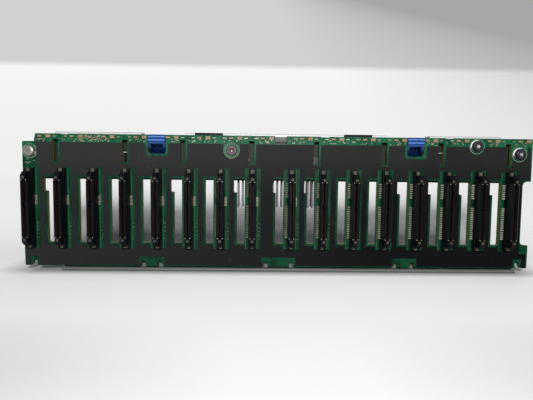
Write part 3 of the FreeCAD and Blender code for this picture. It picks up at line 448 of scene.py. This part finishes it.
# --------------------------------------------------------------- turned pieces
def turned_mesh(name, profile, closed, sides, lobes):
    """Mesh of one turned solid about the Y axis, from rings joined in the order of its profile."""
    points, rings, faces = [], [], []
    for radius, height, wave in profile:
        ring = range(len(points), len(points) + (sides if radius else 1))
        for k in range(len(ring)):
            angle = 2 * math.pi * k / sides
            reach = (radius + wave * math.cos(lobes * angle)) * MM
            points.append((reach * math.cos(angle), -height * MM, reach * math.sin(angle)))
        rings.append(ring)
    pairs = list(zip(rings, rings[1:]))
    if closed:
        pairs.append((rings[-1], rings[0]))
    for near, far in pairs:
        for k in range(sides):
            after = (k + 1) % sides
            corners = (near[k % len(near)], near[after % len(near)], far[after % len(far)], far[k % len(far)])
            faces.append(list(dict.fromkeys(corners)))
    mesh = bpy.data.meshes.new(name)
    mesh.from_pydata(points, [], faces)
    face_outwards(mesh)
    return mesh


def face_outwards(mesh):
    """Point the faces of closed solids away from their inside."""
    work = bmesh.new()
    work.from_mesh(mesh)
    bmesh.ops.recalc_face_normals(work, faces=work.faces)
    work.to_mesh(mesh)
    work.free()


def turned(name, places, profile, material, closed=False, sides=48, lobes=6):
    """Turned solids about axes along Y. The profile gives (radius, height off the board, wave) in mm.

    A wave makes the ring a star. A closed profile is a loop round a hole; an open one starts and ends on
    the axis.
    """
    piece = scene_object(name + " piece", turned_mesh(name + " piece", profile, closed, sides, lobes))
    points = [before_front(x, z, 0) for x, z in places]
    made = repeated(name, points, AS_IT_IS, material, "piece", piece=piece)
    bpy.data.objects.remove(piece)
    return made


def middle_of(node):
    """Axis of a fixing along Y, as (x, z)."""
    low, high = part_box(node)
    return ((low.x + high.x) / 2, (low.z + high.z) / 2)


# Radii and heights off the board of the fixings, in millimetres.
SHANK_RADIUS = 1.5
SHANK_END = -4.4
WASHER_RADIUS = 3.8
WASHER_TOP = 0.5
STUD_RADIUS = 3.2
SCREW_RADIUS = 2.8
SCREW_TOP = 2.5
SOCKET_RADIUS = 1.25
SOCKET_WAVE = 0.2
SOCKET_FLOOR = 1.3
RIVET_RADIUS = 2.9
RIVET_BORE = 0.9
RIVET_FLOOR = -1.9

STUD = middle_of("corner_stud")
RIVET = middle_of("centre_rivet")
SCREWS_LOW, SCREWS_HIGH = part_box("board_screws")
SCREWS = [(SCREWS_LOW.x + SCREW_RADIUS * MM, SCREWS_HIGH.z - SCREW_RADIUS * MM),
          (SCREWS_HIGH.x - SCREW_RADIUS * MM, SCREWS_LOW.z + SCREW_RADIUS * MM)]


def shank(top):
    """End of a fixing's profile: from under its head down to the rear end and the axis."""
    return [(SHANK_RADIUS, top, 0), (SHANK_RADIUS, SHANK_END, 0), (0, SHANK_END, 0)]


def build_fixings():
    washers = turned("washer_rings", [STUD] + SCREWS,
                     [(SHANK_RADIUS, 0, 0), (WASHER_RADIUS, 0, 0), (WASHER_RADIUS, 0.2, 0),
                      (WASHER_RADIUS - 0.4, WASHER_TOP, 0), (SHANK_RADIUS, WASHER_TOP, 0)],
                     "washer_steel", closed=True)
    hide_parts("screw_washers")
    stud = turned("stud_head", [STUD],
                  [(0, 1.8, 0), (0.5, 1.8, 0), (0.8, 2.35, 0), (2.2, 2.4, 0), (2.75, 2.2, 0), (3.1, 1.75, 0),
                   (STUD_RADIUS, 1.2, 0), (STUD_RADIUS, WASHER_TOP, 0)] + shank(WASHER_TOP),
                  "bright_steel")
    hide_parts("corner_stud")
    screws = turned("screw_heads", SCREWS,
                    [(0, SOCKET_FLOOR, 0), (SOCKET_RADIUS, SOCKET_FLOOR, SOCKET_WAVE),
                     (SOCKET_RADIUS, SCREW_TOP, SOCKET_WAVE), (2.3, SCREW_TOP, 0), (2.65, 2.3, 0),
                     (SCREW_RADIUS, 1.9, 0), (SCREW_RADIUS, WASHER_TOP, 0)] + shank(WASHER_TOP),
                    "black_steel")
    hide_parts("board_screws")
    # Pale star in each screw socket: a painted reflection.
    turned("socket_floors", SCREWS,
           [(0, 2.0, 0), (0.85, 2.0, 0.4), (0.85, SOCKET_FLOOR, 0.4), (0, SOCKET_FLOOR, 0)], "star_steel")
    rivet = turned("rivet_flare", [RIVET],
                   [(0, RIVET_FLOOR, 0), (RIVET_BORE, RIVET_FLOOR, 0), (RIVET_BORE, 0.35, 0), (1.2, 0.6, 0),
                    (1.7, 0.7, 0), (2.5, 0.6, 0), (RIVET_RADIUS, 0.3, 0), (RIVET_RADIUS, 0, 0)] + shank(0),
                   "copper_plate")
    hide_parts("centre_rivet")
    turned("rivet_core", [RIVET],
           [(0, -1.3, 0), (0.5, -1.3, 0), (0.5, -1.8, 0), (0, -1.8, 0)], "bright_steel")


# -------------------------------------------------------------- print and film
# Millimetres. Heights are those of middles above the board's lower edge.
PRINT_THICKNESS = 0.03
PRINTED_LINE_MIDDLE = 32.8
PRINTED_LINE_LENGTH = 46.0
MARK_THICKNESS = 0.05
# Shift from the board's left edge and height of each mark.
MARKS_BELOW_STUD = ((1.9, 59.2), (3.9, 59.2), (2.9, 58.6), (2.9, 61.0), (5.2, 62.5), (6.4, 60.1))
TONGUE_THICKNESS = 0.28
TONGUE_ABOVE = 56.65
SIDE_TONGUE_HEIGHT = 54.7
SIDE_TONGUE_SHIFT = 3.25                # to the left of the connector's centre line
LAST_BAY_WITH_SIDE_TONGUE = 7


def print_ring(name, places, radius, width):
    """Printed circle on the board."""
    inner, outer = radius - width / 2, radius + width / 2
    loop = [(inner, 0, 0), (outer, 0, 0), (outer, PRINT_THICKNESS, 0), (inner, PRINT_THICKNESS, 0)]
    turned(name, places, loop, "ring_print", closed=True)


def printed_lines(name, bays, shift, width):
    """Upright printed line beside each connector, `shift` millimetres from its centre line."""
    lines = [on_front(connector_line(bay) + shift * MM, above_edge(PRINTED_LINE_MIDDLE), PRINT_THICKNESS)
             for bay in bays]
    repeated(name, lines, flat_size(width, PRINTED_LINE_LENGTH, PRINT_THICKNESS), "print")


def build_prints():
    print_ring("print_ring_at_stud", [STUD], radius=4.05, width=0.25)
    print_ring("print_ring_at_rivet", [RIVET], radius=3.6, width=0.2)
    print_ring("outer_print_ring_at_rivet", [RIVET], radius=4.4, width=0.2)
    print_ring("print_rings_at_screws", SCREWS, radius=4.2, width=0.22)
    marks = [on_front(BOARD_LOW.x + side * MM, above_edge(height), MARK_THICKNESS)
             for side, height in MARKS_BELOW_STUD]
    repeated("printed_marks_below_the_stud", marks, flat_size(1.2, 0.4, MARK_THICKNESS), "pad_tin",
             spread=0.3, seed=22)
    printed_lines("printed_lines_right_of_the_connectors", BAYS, shift=2.9, width=0.3)
    printed_lines("printed_lines_left_of_the_connectors", BAYS[1:], shift=-3.9, width=0.25)


def build_film_tongues():
    """Film that closes in on the upper end of each connector but the first."""
    above = [on_front(connector_line(bay), above_edge(TONGUE_ABOVE), TONGUE_THICKNESS) for bay in BAYS[1:]]
    beside = [on_front(connector_line(bay) - SIDE_TONGUE_SHIFT * MM, above_edge(SIDE_TONGUE_HEIGHT),
                       TONGUE_THICKNESS)
              for bay in BAYS[1:LAST_BAY_WITH_SIDE_TONGUE]]
    repeated("film_above_connectors", above, flat_size(4.3, 1.0, TONGUE_THICKNESS), "film")
    repeated("film_beside_connectors", beside, flat_size(2.2, 4.9, TONGUE_THICKNESS), "film")


# ------------------------------------------------------------- soldered detail
# Millimetres: heights above the board's lower edge, shifts from a connector's centre line, and how far
# pieces stand off the board.
FINE_TAIL_SHIFT = 2.75
FINE_TAIL_FOOT = 35.5
FINE_TAIL_PITCH = 0.8
FINE_TAIL_COUNT = 7
FINE_TAIL_THICKNESS = 0.3
TEST_DOT_SHIFT = 3.9
TEST_DOT_FOOT = 16.2
TEST_DOT_PITCH = 2.2
TEST_DOT_COUNT = 5
TEST_DOT_THICKNESS = 0.2
CONTACT_SHIFT = 0.62
CONTACT_FOOT = 18.7
CONTACT_PITCH = 1.27
CONTACT_COUNT = 24
CONTACT_STAND_OFF = 5.6
SLOT_KEY_HEIGHT = 36.2
SLOT_KEY_CLEARANCE = 1.2
# Tin specks at the ends of each connector: painted glints.
GLINT_SHIFT = 1.3
GLINT_HEIGHTS = (17.6, 49.4)
GLINT_STAND_OFF = 8.65
# Thin tin rings at the ends of each connector: partly lock rings, partly painted glints.
LOCK_RING_HEIGHTS = (16.1, 50.9)
LOCK_RING_PROFILE = [(0.3, 9.4, 0), (0.75, 9.4, 0), (0.75, 9.45, 0), (0.3, 9.45, 0)]


def build_connector_details():
    """Fine tails and test dots to the right of each connector, its slot contacts, tin specks at its ends that
    are painted glints, and lock rings that are partly painted glints.
    """
    tails, dots, contacts, painted_glints, locks = [], [], [], [], []
    for bay in BAYS:
        line = connector_line(bay)
        for k in range(FINE_TAIL_COUNT):
            height = above_edge(FINE_TAIL_FOOT + FINE_TAIL_PITCH * k)
            tails.append(on_front(line + FINE_TAIL_SHIFT * MM, height, FINE_TAIL_THICKNESS))
        for k in range(TEST_DOT_COUNT):
            height = above_edge(TEST_DOT_FOOT + TEST_DOT_PITCH * k)
            dots.append(on_front(line + TEST_DOT_SHIFT * MM, height, TEST_DOT_THICKNESS))
        for k in range(CONTACT_COUNT):
            height = CONTACT_FOOT + CONTACT_PITCH * k
            if abs(height - SLOT_KEY_HEIGHT) > SLOT_KEY_CLEARANCE:
                contacts += [before_front(line + shift * MM, above_edge(height), CONTACT_STAND_OFF)
                             for shift in (-CONTACT_SHIFT, CONTACT_SHIFT)]
        painted_glints += [before_front(line + shift * MM, above_edge(height), GLINT_STAND_OFF)
                 for shift in (-GLINT_SHIFT, GLINT_SHIFT) for height in GLINT_HEIGHTS]
        locks += [(line, above_edge(height)) for height in LOCK_RING_HEIGHTS]
    # Lock rings that partly stand for painted glints.
    turned("lock_rings", locks, LOCK_RING_PROFILE, "strap_tin", closed=True, sides=16)
    repeated("fine_tails", tails, flat_size(1.3, 0.36, FINE_TAIL_THICKNESS), "pad_tin", seed=3)
    repeated("test_dots", dots, flat_size(0.9, 0.2, 0.9), "pad_tin", "disc", spread=0.3, seed=4)
    repeated("slot_contacts", contacts, flat_size(0.25, 0.6, 5.0), "contact_brown", seed=5)
    # Painted glints at the connector ends.
    repeated("hold_down_ears", painted_glints, flat_size(0.5, 0.4, 0.1), "pad_tin", seed=6)


# Millimetres: cut-outs of the upper strip and the room that chip parts leave round them.
HOOK_SLOT_AFTER_FIRST = 14.05
HOOK_SLOT_BEFORE_LAST = 0.75
HOOK_SLOT_ROOM = 2.4
HOOK_SLOT_TOP = 73.2
LATCH_ROOM = 1.5
FIXING_ROOM = 5.6
CENTRE_NOTCH_MIDDLE = 0.55
CENTRE_NOTCH_ROOM = 4.3
LEFT_END_ROOM = 8.0
RIGHT_END_ROOM = 1.0
# Where chip parts lie, in millimetres.
BAY_MIDDLE_SHIFT = 4.35                 # from a connector's centre line
BAY_HALF = 8.5
DASH_SHIFTS = (-2.3, 9.6)
DASH_HEIGHT = 74.0
DASH_END_ROOM = 2.0
DASH_THICKNESS = 0.2
PADS_PER_BAY = 7
PAD_HEIGHTS = (71.2, 73.0)
PAD_THICKNESS = 0.35
CHIPS_PER_BAY = 3
CHIP_HEIGHTS = (71.2, 73.2)
CROWD = (-114, -97)                     # stretch of world x that is packed with parts
CROWD_PADS = 46
CROWD_PAD_HEIGHTS = (71.0, 74.8)
CROWD_CHIPS = 26
CROWD_CHIP_HEIGHTS = (71.0, 74.6)


def hook_slot_lines():
    """Centre lines of the hook slots, after each group's first connector and before its last."""
    group = BAY_COUNT // 4
    firsts = BAYS[::group]
    return ([connector_line(bay) + HOOK_SLOT_AFTER_FIRST * MM for bay in firsts] +
            [connector_line(bay + group - 1) - HOOK_SLOT_BEFORE_LAST * MM for bay in firsts])


def clear_of_cutouts(x, z):
    """True where the upper strip of the board is whole."""
    to_hook_slot = min(abs(x - line) for line in hook_slot_lines())
    if z < above_edge(HOOK_SLOT_TOP) and to_hook_slot < HOOK_SLOT_ROOM * MM:
        return False
    if any(low.x - LATCH_ROOM * MM < x < high.x + LATCH_ROOM * MM for low, high in LATCHES):
        return False
    if any(math.hypot(x - fx, z - fz) < FIXING_ROOM * MM for fx, fz in [STUD, RIVET] + SCREWS):
        return False
    if abs(x - CENTRE_NOTCH_MIDDLE * MM) <= CENTRE_NOTCH_ROOM * MM:
        return False
    return BOARD_LOW.x + LEFT_END_ROOM * MM < x < BOARD_HIGH.x - RIGHT_END_ROOM * MM


def scattered(count, x_range, z_range, seed):
    """Random places on the upper strip, in millimetres of world x and height above the edge."""
    draw = random.Random(seed)
    places = []
    while len(places) < count:
        x = draw.uniform(*x_range) * MM
        z = above_edge(draw.uniform(*z_range))
        if clear_of_cutouts(x, z):
            places.append(on_front(x, z, PAD_THICKNESS))
    return places


def build_chip_parts():
    """Small parts on the green strip along the upper edge, packed in a stretch at its left end."""
    pads, chips, dashes = [], [], []
    for bay in BAYS:
        middle = connector_line(bay) + BAY_MIDDLE_SHIFT * MM
        for shift in DASH_SHIFTS:
            x = middle + shift * MM
            if x < BOARD_HIGH.x - DASH_END_ROOM * MM and clear_of_cutouts(x, above_edge(DASH_HEIGHT)):
                dashes.append(on_front(x, above_edge(DASH_HEIGHT), DASH_THICKNESS))
        stretch = (middle / MM - BAY_HALF, middle / MM + BAY_HALF)
        pads += scattered(PADS_PER_BAY, stretch, PAD_HEIGHTS, seed=10 + bay)
        chips += scattered(CHIPS_PER_BAY, stretch, CHIP_HEIGHTS, seed=40 + bay)
    pads += scattered(CROWD_PADS, CROWD, CROWD_PAD_HEIGHTS, seed=7)
    chips += scattered(CROWD_CHIPS, CROWD, CROWD_CHIP_HEIGHTS, seed=8)
    repeated("pads", pads, flat_size(0.75, 0.5, PAD_THICKNESS), "pad_tin", spread=0.45, seed=11)
    repeated("chip_parts", chips, flat_size(1.1, 0.6, 0.5), "chip_tan", spread=0.35, seed=12)
    repeated("printed_dashes", dashes, flat_size(2.2, 0.6, DASH_THICKNESS), "pad_tin", spread=0.2, seed=13)


# ------------------------------------------------------------------- the stage
FLOOR_FLAT_TO = 0.045                   # the floor starts to rise behind the board here
FLOOR_SLOPE = math.radians(22)
FLOOR_BEND_RADIUS = 0.25
FLOOR_BEND_STEPS = 12
FLOOR_HALF = 4.0
FLOOR_BACK = 7.0
PAPER_FROM, PAPER_TO = 0.125, 0.22      # the floor fades into plain pale paper between these, which paints light over the far end of the board's shadow
WALL_FROM, WALL_TO = 0.80, 0.87         # and the paper into a greyer wall
KEY_PLACE = (0.0, -0.474, 0.215)
KEY_TARGET = (0.0, 0.05, 0.03)
KEY_SIZE = (0.08, 0.10)
KEY_POWER = 8.3
FILL_PLACE = (0.25, 0.75, 0.50)
FILL_TARGET = (0.0, 0.0, 0.04)
FILL_SIZE = (0.9, 0.5)
FILL_POWER = 1.3
CAMERA_PLACE = Vector((-0.0123, -0.2711, 0.0615))
CAMERA_TURN = (math.radians(1.08), math.radians(-4.28), math.radians(0.64))
CAMERA_LENS = 30.47
CAMERA_SENSOR = 36.0


def floor_colour(g, where, depth, aside):
    """Pale grey, paler behind the board, with painted shade that makes it darker at the front and duller at
    the front corners, and a painted shadow close under and behind the board.

    Each pair of numbers is where a change starts and ends, in metres behind the frame's middle or aside.
    """
    near = g.blend(g.noise(where, 3.0), colour(0.73, 0.73, 0.72), colour(0.77, 0.77, 0.765))
    # Painted shade: darker at the front, paler behind the board.
    pale = g.blend(g.between(depth, -0.15, -0.04), near, colour(0.96, 0.96, 0.955))
    # Painted shade at the front corners.
    corners = g.between(aside, 0.02, 0.11) * g.between(depth, -0.09, -0.14)
    pale = g.blend(corners, pale, colour(0.58, 0.58, 0.575))
    # Painted shadow close under and behind the board.
    under = g.between(depth, -0.022, -0.011) * g.between(depth, 0.125, 0.095) * g.between(aside, 0.165, 0.140)
    shade = g.blend(g.between(depth, 0.03, 0.06), colour(0.28, 0.28, 0.29), colour(0.16, 0.16, 0.17))
    return g.blend(under, pale, shade)


def backdrop_colour(g, across, depth):
    """What the camera sees behind: pale paper, then a greyer wall, both darker towards the right.

    The pairs of numbers are distances in metres, as for the floor.
    """
    paper = g.blend(g.between(depth, 0.3, 0.75), colour(0.87, 0.87, 0.865), colour(0.92, 0.92, 0.915))
    paper = g.blend(g.between(across, 0.15, 0.70), paper, colour(0.62, 0.63, 0.62))
    wall = g.blend(g.between(across, 0.1, 1.0), colour(0.63, 0.635, 0.63), colour(0.38, 0.385, 0.38))
    return g.blend(g.between(depth, WALL_FROM, WALL_TO), paper, wall)


def floor_material():
    """Lit floor that hands over to the plain backdrop behind and beside the board."""
    made = bpy.data.materials.new("floor")
    made.use_nodes = True
    g = Graph(made.node_tree)
    where = g.place()
    across = g.part(where, "X")
    depth = g.part(where, "Y")
    aside = g.math("ABSOLUTE", across)
    lit = g.node("ShaderNodeBsdfPrincipled", {"Base Color": floor_colour(g, where, depth, aside),
                                              "Roughness": 0.6, "Specular IOR Level": 0.1})
    backdrop = g.node("ShaderNodeEmission", {"Color": backdrop_colour(g, across, depth)})
    # The camera-only paper paints light over the far end of the board's shadow.
    far = g.math("MAXIMUM", g.between(depth, PAPER_FROM, PAPER_TO), g.between(aside, 0.14, 0.26) * 0.75)
    mixed = g.node("ShaderNodeMixShader", {0: far * g.seen(), 1: lit, 2: backdrop})
    g.node("ShaderNodeOutputMaterial", {"Surface": mixed})
    return made


def build_floor():
    """Pale floor that rises smoothly behind the board."""
    profile = [(-FLOOR_HALF, 0.0), (FLOOR_FLAT_TO, 0.0)]
    for k in range(1, FLOOR_BEND_STEPS + 1):
        angle = FLOOR_SLOPE * k / FLOOR_BEND_STEPS
        profile.append((FLOOR_FLAT_TO + FLOOR_BEND_RADIUS * math.sin(angle),
                        FLOOR_BEND_RADIUS * (1 - math.cos(angle))))
    y, z = profile[-1]
    profile.append((y + FLOOR_BACK, z + FLOOR_BACK * math.tan(FLOOR_SLOPE)))
    points = [(side * FLOOR_HALF, y, z) for y, z in profile for side in (-1, 1)]
    faces = [(2 * k, 2 * k + 1, 2 * k + 3, 2 * k + 2) for k in range(len(profile) - 1)]
    mesh = bpy.data.meshes.new("floor")
    mesh.from_pydata(points, [], faces)
    for face in mesh.polygons:
        face.use_smooth = True
    mesh.materials.append(floor_material())
    floor = scene_object("floor", mesh)


def build_world():
    """Dim all-round light, shown as a pale backdrop."""
    world = bpy.data.worlds.new("world")
    bpy.context.scene.world = world
    world.use_nodes = True
    g = Graph(world.node_tree)
    sky = g.blend(g.seen(), colour(0.09, 0.092, 0.095), colour(0.63, 0.635, 0.63))
    back = g.node("ShaderNodeBackground", {"Color": sky, "Strength": 1.0})
    g.node("ShaderNodeOutputWorld", {"Surface": back})


def area_light(name, place, target, size, power, steady=False):
    """Rectangular lamp. A steady one falls off with distance, not with its square."""
    data = bpy.data.lights.new(name, "AREA")
    data.shape = "RECTANGLE"
    data.size, data.size_y = size
    data.energy = power
    if steady:
        data.use_nodes = True
        g = Graph(data.node_tree)
        level = g.node("ShaderNodeLightFalloff", {"Strength": 1.0}, output="Linear")
        glow = g.node("ShaderNodeEmission", {"Strength": level})
        g.node("ShaderNodeOutputLight", {"Surface": glow})
    light = scene_object(name, data)
    light.location = place
    light.rotation_euler = (Vector(target) - Vector(place)).to_track_quat("-Z", "Y").to_euler()


def build_lights():
    area_light("key", KEY_PLACE, KEY_TARGET, KEY_SIZE, KEY_POWER, steady=True)
    area_light("fill", FILL_PLACE, FILL_TARGET, FILL_SIZE, FILL_POWER)


def build_camera():
    yaw, pitch, roll = CAMERA_TURN
    data = bpy.data.cameras.new("camera")
    data.lens = CAMERA_LENS
    data.sensor_width = CAMERA_SENSOR
    data.clip_start = 0.01
    data.clip_end = 20.0
    camera = scene_object("camera", data)
    turn = Matrix.Rotation(-yaw, 4, "Z") @ Matrix.Rotation(math.pi / 2 + pitch, 4, "X")
    camera.matrix_world = Matrix.Translation(CAMERA_PLACE) @ turn @ Matrix.Rotation(roll, 4, "Z")
    bpy.context.scene.camera = camera
    bpy.context.scene.view_settings.view_transform = "Standard"


dress_frame()
build_fixings()
build_prints()
build_film_tongues()
build_connector_details()
build_chip_parts()
build_floor()
build_world()
build_lights()
build_camera()
